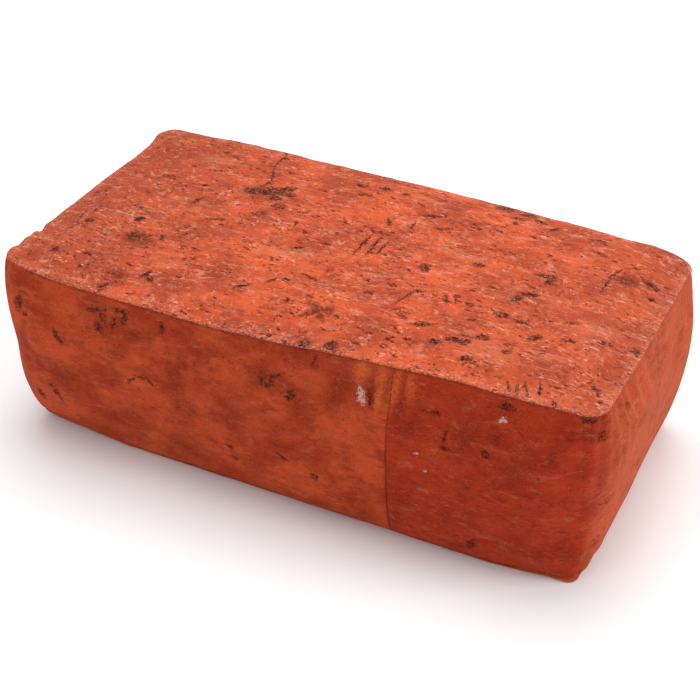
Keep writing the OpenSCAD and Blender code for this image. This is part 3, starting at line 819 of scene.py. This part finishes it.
COVER_GAP = 3.5 * MM
WADDING_ROUND = 14 * MM
WADDING_LEVELS = np.linspace(FABRIC + 2.5 * MM, HEIGHT - FABRIC - 3.5 * MM, 22)


def wadding_inset(height, shape):
    """How far the wadding lies in from the band: rounded above and below, hollow behind the zip."""
    level = np.minimum(np.minimum(height, HEIGHT - height), WADDING_ROUND) / WADDING_ROUND
    pocket = ramp(-np.abs(height - ZIP_Z), -14 * MM, -7 * MM) * near_zip(shape) * 3 * MM
    return COVER_GAP + 5 * MM * (1 - level) ** 2 + pocket


def inner_outline(height, ends_only):
    """Outline of the wadding at one height, a little inside the cover: the seam loop moved in."""
    heights = np.full(len(loop_x), height)
    shape = band_surface(loop_x, loop_y, heights, joins=False)
    out_x, out_y, _ = outward(loop_x, loop_y)
    inset = wadding_inset(height, shape)
    outline = joined(shape[:, 0] - out_x * inset, shape[:, 1] - out_y * inset, heights)
    return outline[np.abs(outline[:, 0]) > RUN_X] if ends_only else outline


def wadding_end(name, side):
    """The pad of wadding at one end: rings of points with a flat top and bottom."""
    rings = []
    for height in WADDING_LEVELS:
        outline = inner_outline(height, ends_only=True)
        ring = outline[outline[:, 0] * side > 0]
        order = np.argsort(ring[:, 1])
        ring = ring[order][::2]
        flat = np.linspace(ring[-1, 1], ring[0, 1], 40)[1:-1]
        face_x = np.full_like(flat, side * (RUN_X + 0.4 * MM))
        inner = joined(face_x, flat, np.full_like(flat, height))
        rings.append(np.concatenate([ring, inner]))
    size = min(len(ring) for ring in rings)
    points = np.stack([ring[np.linspace(0, len(ring) - 1, size).round().astype(int)] for ring in rings])
    faces = ring_faces(len(rings), size)
    ends = [list(range(size - 1, -1, -1)), [(len(rings) - 1) * size + i for i in range(size)]]
    return mesh_piece(name, fluffy(settle(points)), faces + ends, wadding_stuff)


def fluffy(points):
    """Lumps of loose fibre."""
    return points + joined(*(soft_noise(points, 14 * MM, seed) * 0.6 * MM for seed in (21, 22, 23)))


def wadding_wrap():
    """Wadding wrapped round the foam: a sleeve along X, with the foam's section as its opening."""
    stations = np.linspace(-RUN_X + 0.4 * MM, RUN_X - 0.4 * MM, 90)
    levels = WADDING_LEVELS
    across = np.linspace(-1, 1, 24)
    outer, inner = [], []
    for x in stations:
        sides = {}
        for side in (-1, 1):
            seam_x = np.full(len(levels), x)
            seam_y = np.full(len(levels), side * HALF_W)
            shape = band_surface(seam_x, seam_y, levels, joins=False)
            sides[side] = shape[:, 1] - side * wadding_inset(levels, shape)
        reach_low = across[1:-1] * sides[1][0]
        reach_high = -across[1:-1] * sides[1][-1]
        y = np.concatenate([reach_low, sides[1], reach_high, sides[-1][::-1]])
        z = np.concatenate([np.full_like(reach_low, levels[0]), levels,
                            np.full_like(reach_high, levels[-1]), levels[::-1]])
        outer.append(joined(np.full_like(y, x), y, z))
        core_y = np.clip(y, core_lo.y - 0.3 * MM, core_hi.y + 0.3 * MM)
        core_z = np.clip(z, core_lo.z - 0.3 * MM, core_hi.z + 0.3 * MM)
        inner.append(joined(np.full_like(y, x), core_y, core_z))
    size = len(outer[0])
    count = len(stations)
    points = np.concatenate([fluffy(settle(np.array(outer))), settle(np.array(inner))])
    faces = ring_faces(count, size)
    first_inner = count * size
    faces += [tuple(first_inner + i for i in face[::-1]) for face in ring_faces(count, size)]
    for ring, turn in ((0, 1), ((count - 1) * size, -1)):
        for i in range(size):
            j = (i + 1) % size
            face = (ring + i, first_inner + ring + i, first_inner + ring + j, ring + j)
            faces.append(face[::turn])
    return mesh_piece("wadding_wrap", points, faces, wadding_stuff)


def foam_block():
    """The foam block, with soft edges and a slightly uneven cut."""
    shape = bmesh.new()
    bmesh.ops.create_cube(shape, size=1)
    size = core_hi - core_lo - Vector((1, 1, 1)) * 0.8 * MM
    middle = (core_hi + core_lo) / 2
    bmesh.ops.scale(shape, vec=size, verts=shape.verts)
    bmesh.ops.translate(shape, vec=middle, verts=shape.verts)
    bmesh.ops.bevel(shape, geom=shape.edges[:], offset=3 * MM, segments=3, affect="EDGES", profile=0.5)
    bmesh.ops.subdivide_edges(shape, edges=[e for e in shape.edges if e.calc_length() > 20 * MM], cuts=24,
                              use_grid_fill=True)
    shape.verts.ensure_lookup_table()
    points = settle(np.array([vertex.co for vertex in shape.verts]))
    points = points + soft_noise(points, 9 * MM, 31)[:, None] * 0.15 * MM
    faces = [tuple(vertex.index for vertex in face.verts) for face in shape.faces]
    shape.free()
    return mesh_piece("foam_core", points, faces, foam_stuff)


foam = foam_block()
wrap = wadding_wrap()
ends = [wadding_end("wadding_end_left", -1), wadding_end("wadding_end_right", 1)]

# ---- stitches ----

STITCH_RINGS = ((-0.5, 0.35), (-0.42, 0.85), (0.0, 1.0), (0.42, 0.85), (0.5, 0.35))
STITCH_SIDES = 6


def stitches(name, path, pitch, share, thickness, lean, material):
    """A row of stitches along a path of points. Each is share of the pitch long and leans off the path."""
    steps = np.linalg.norm(np.diff(path, axis=0), axis=1)
    travelled = np.concatenate([[0], np.cumsum(steps)])
    count = int(travelled[-1] / pitch)
    middles = (np.arange(count) + 0.5) * travelled[-1] / count

    def at(distance):
        return joined(*(np.interp(distance, travelled, path[:, i]) for i in range(3)))

    half = pitch * share / 2
    start, end = at(middles - half), at(middles + half)
    along = end - start
    along = along + np.array([0, 0, 1]) * lean * np.linalg.norm(along, axis=1)[:, None]
    length = np.linalg.norm(along, axis=1)[:, None]
    axis = along / length
    helper = np.where(np.abs(axis[:, 2:]) > 0.8, [[1.0, 0, 0]], [[0, 0, 1.0]])
    side = unit(np.cross(axis, helper))
    other = np.cross(axis, side)
    middle = (start + end) / 2
    points = np.zeros((count, len(STITCH_RINGS), STITCH_SIDES, 3))
    for ring, (place, width) in enumerate(STITCH_RINGS):
        for corner in range(STITCH_SIDES):
            angle = 2 * math.pi * corner / STITCH_SIDES
            round_it = side * math.cos(angle) + other * math.sin(angle)
            points[:, ring, corner] = middle + axis * length * place + round_it * thickness / 2 * width
    block = len(STITCH_RINGS) * STITCH_SIDES
    pattern = ring_faces(len(STITCH_RINGS), STITCH_SIDES)
    pattern += [tuple(range(STITCH_SIDES))[::-1], tuple(range(block - STITCH_SIDES, block))]
    faces = [tuple(stitch * block + i for i in face) for stitch in range(count) for face in pattern]
    return mesh_piece(name, points, faces, material)


def along_band(x, y, height, stand):
    """Points on the settled side band at seam points x and y, standing off it by stand."""
    out_x, out_y, _ = outward(x, y)
    points = settle(band_surface(x, y, height))
    return points + joined(out_x, out_y, np.zeros_like(x)) * stand


def level_row(height):
    """A path round the whole seam."""
    return along_band(loop_x, loop_y, np.full(len(loop_x), height), 0.05 * MM)


def upright_row(x, side):
    """A path up a join of the band."""
    heights = np.linspace(5 * MM, HEIGHT - 5 * MM, 90)
    return along_band(np.full_like(heights, x), np.full_like(heights, side * HALF_W), heights, 0.15 * MM)


def zip_row(height):
    """A path along one of the zip's fabric strips."""
    x = np.linspace(-HALF_ZIP + 3 * MM, HALF_ZIP - 3 * MM, 220)
    return along_band(x, np.full_like(x, HALF_W), np.full_like(x, height), 0.1 * MM)


stitches("top_seam_thread", level_row(HEIGHT - 0.6 * MM), 3.4 * MM, 0.7, 0.4 * MM, 0.12, rust_thread)
stitches("bottom_seam_thread", level_row(0.9 * MM), 3.4 * MM, 0.7, 0.5 * MM, 0.12, rust_thread)
for node, x, side in (("front_join_thread", JOIN_X, -1), ("rear_join_thread_left", -HALF_ZIP, 1),
                      ("rear_join_thread_right", HALF_ZIP, 1)):
    stitches(node, upright_row(x, side), 3.6 * MM, 0.4, 0.35 * MM, 0.0, dark_thread)
for node in ("zip_thread_upper", "zip_thread_lower"):
    low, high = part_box(node)
    stitches(node, zip_row((low.z + high.z) / 2), 3.0 * MM, 0.72, THREAD_D * 0.6, 0.0, rust_thread)

# ---- zip ----

TAPE_T = 0.4 * FABRIC
COIL_SIDES = 6


def zip_tape(name):
    """A woven tape just behind the fabric strips."""
    low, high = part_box(name)
    x, z = np.meshgrid(np.linspace(low.x, high.x, 240), np.linspace(low.z, high.z, 12), indexing="ij")
    back = np.full_like(x, HALF_W)
    points = band_surface(x, back, z, joins=False)
    points[..., 1] -= FABRIC + 0.02 * MM
    piece = mesh_piece(name, points, [face[::-1] for face in grid_faces(*x.shape)], tape_stuff)
    solid = piece.modifiers.new("Tape thickness", "SOLIDIFY")
    solid.thickness = TAPE_T
    solid.offset = -1
    return piece


def zip_coil(name, shift):
    """One coil of nylon: a long helix beside the slot's middle."""
    low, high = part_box(name)
    radius = 0.28 * MM
    pitch = 1.6 * MM
    turns = int((high.x - low.x - 2 * pitch) / pitch)
    angle = np.linspace(0, turns * 2 * math.pi, turns * 10 + 1)
    x = low.x + pitch * (1 + shift + angle / (2 * math.pi))
    y = (low.y + high.y) / 2 + ((high.y - low.y) / 2 - radius - 0.1 * MM) * np.sin(angle)
    z = (low.z + high.z) / 2 + ((high.z - low.z) / 2 - radius - 0.1 * MM) * np.cos(angle)
    path = joined(x, y, z)
    forward = unit(np.gradient(path, axis=0))
    side = unit(np.cross(forward, [1.0, 0, 0]))
    other = np.cross(forward, side)
    corners = [2 * math.pi * i / COIL_SIDES for i in range(COIL_SIDES)]
    points = np.stack([path + radius * (side * math.cos(a) + other * math.sin(a)) for a in corners], axis=1)
    return mesh_piece(name, points, ring_faces(len(path), COIL_SIDES), coil_stuff)


for place, coil_shift in (("upper", 0.0), ("lower", 0.5)):
    zip_tape(f"zip_tape_{place}")
    zip_coil(f"zip_coil_{place}", coil_shift)
for node in ("zip_stop_closed", "zip_stop_open", "zip_slider", "zip_pull"):
    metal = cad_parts[node]
    metal.data.materials.clear()
    metal.data.materials.append(enamel)

# ---- stage, camera and light ----

CAMERA_AZIMUTH = math.radians(26.3)
CAMERA_ELEVATION = math.radians(34.0)
CAMERA_DISTANCE = 1.002
CAMERA_TARGET = Vector((-0.0367, 0.0718, 0))
# Name, place, size and power in watts
LIGHTS = [
    ("overhead", (-0.3, 0.5, 2.0), 1.6, 26),
    ("right", (1.7, 0.3, 0.9), 1.0, 17),
    ("front", (-0.9, -1.8, 0.9), 1.2, 5),
]


def build_stage():
    """Pale floor, camera and soft lights."""
    bpy.ops.mesh.primitive_plane_add(size=60, location=(0, 0, 0))
    floor = bpy.context.object
    floor.name = "floor"
    nodes = Nodes("Pale floor")
    where = nodes.add("ShaderNodeTexCoord", {}).outputs["Object"]
    tone = nodes.mix(nodes.noise(where, 0.4), colour(250, 250, 250), colour(246, 246, 247))
    floor.data.materials.append(nodes.surface({"Base Color": tone, "Roughness": 0.8}))
    back = Vector((math.sin(CAMERA_AZIMUTH) * math.cos(CAMERA_ELEVATION),
                   -math.cos(CAMERA_AZIMUTH) * math.cos(CAMERA_ELEVATION), math.sin(CAMERA_ELEVATION)))
    camera = bpy.data.objects.new("camera", bpy.data.cameras.new("camera"))
    camera.data.lens = 71.9
    camera.data.sensor_width = 36
    camera.location = CAMERA_TARGET + CAMERA_DISTANCE * back
    camera.rotation_euler = back.to_track_quat("Z", "Y").to_euler()
    bpy.context.collection.objects.link(camera)
    bpy.context.scene.camera = camera
    for name, place, size, power in LIGHTS:
        light = bpy.data.lights.new(name, "AREA")
        light.size = size
        light.energy = power
        lamp = bpy.data.objects.new(name, light)
        lamp.location = place
        lamp.rotation_euler = (Vector(place) - Vector((0, 0, 0.06))).to_track_quat("Z", "Y").to_euler()
        bpy.context.collection.objects.link(lamp)
    world = bpy.data.worlds.new("studio")
    world.use_nodes = True
    world.node_tree.nodes["Background"].inputs["Color"].default_value = (1, 1, 1, 1)
    world.node_tree.nodes["Background"].inputs["Strength"].default_value = 0.62
    bpy.context.scene.world = world
    bpy.context.scene.view_settings.view_transform = "Standard"


build_stage()
